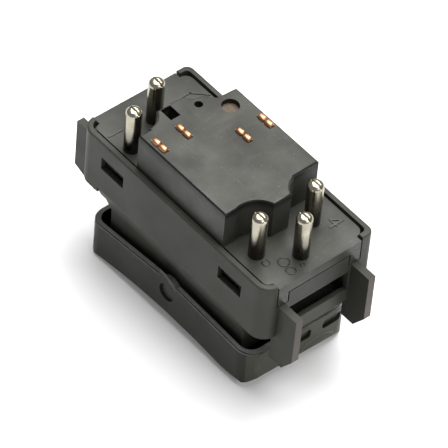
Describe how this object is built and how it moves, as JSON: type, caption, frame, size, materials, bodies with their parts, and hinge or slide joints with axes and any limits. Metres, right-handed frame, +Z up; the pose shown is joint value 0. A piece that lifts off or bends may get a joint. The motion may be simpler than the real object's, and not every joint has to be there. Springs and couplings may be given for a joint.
{
  "type": "power window switch",
  "caption": "Rocker switch for a vehicle door, lying on its rocker: a case with end flanges, a terminal plate with a raised block, round terminal pins and an arched rocker.",
  "frame": {"origin": "on the surface that the switch rests on, under the middle of the case", "axes": "+X along the case, towards the end with three pins; +Z up, out of the pins; the long side at minus Y is the one seen in the picture"},
  "size_m": [0.0498, 0.0208, 0.0326],
  "materials": {
    "case_plastic": "fine matt moulding",
    "plate_plastic": "fine matt moulding",
    "rocker_plastic": "fine matt moulding",
    "plated_pin": "bright plating",
    "copper": "bare copper",
    "silver": "silver contact",
    "spring_steel": "drawn wire",
    "plunger_plastic": "natural nylon"
  },
  "bodies": {
    "case": {"housing": "case_plastic", "terminal_plate": "plate_plastic", "pin_1": "plated_pin", "pin_2": "plated_pin", "pin_3": "plated_pin", "pin_4": "plated_pin", "pin_5": "plated_pin", "contact_carrier_1": "copper", "contact_carrier_2": "copper", "contact_bar_1": "copper", "contact_bar_2": "copper", "bar_contact_1": "silver", "bar_contact_2": "silver", "bar_contact_3": "silver", "bar_contact_4": "silver"},
    "rocker": {"rocker_button": "rocker_plastic", "plunger_spring_1": "spring_steel", "plunger_spring_2": "spring_steel"},
    "blade_body_1": {"seesaw_blade_1": "copper", "blade_contact_1": "silver", "blade_contact_2": "silver"},
    "blade_body_2": {"seesaw_blade_2": "copper", "blade_contact_3": "silver", "blade_contact_4": "silver"},
    "plunger_body_1": {"plunger_1": "plunger_plastic"},
    "plunger_body_2": {"plunger_2": "plunger_plastic"}
  },
  "joints": [
    {"name": "rocker_tilt", "type": "hinge", "parent": "case", "child": "rocker", "pos_m": [0, 0, 0.00625], "axis": [0, 1, 0], "range_deg": [-7.5, 7.5], "stiffness_Nm_per_rad": 0.25},
    {"name": "blade_1_tilt", "type": "hinge", "parent": "case", "child": "blade_body_1", "pos_m": [0, -0.0058, 0.02065], "axis": [0, 1, 0], "range_deg": [-5, 5]},
    {"name": "blade_2_tilt", "type": "hinge", "parent": "case", "child": "blade_body_2", "pos_m": [0, 0.0052, 0.02065], "axis": [0, 1, 0], "range_deg": [-5, 5]},
    {"name": "plunger_1_slide", "type": "slide", "parent": "rocker", "child": "plunger_body_1", "axis": [0, 0, -1], "range_m": [0, 0.0008], "stiffness_N_per_m": 400, "deforming": ["plunger_spring_1"]},
    {"name": "plunger_2_slide", "type": "slide", "parent": "rocker", "child": "plunger_body_2", "axis": [0, 0, -1], "range_m": [0, 0.0008], "stiffness_N_per_m": 400, "deforming": ["plunger_spring_2"]}
  ],
  "couplings": [
    {"joint": "blade_1_tilt", "follows": "rocker_tilt", "ratio": -0.66666},
    {"joint": "blade_2_tilt", "follows": "rocker_tilt", "ratio": -0.66666}
  ]
}
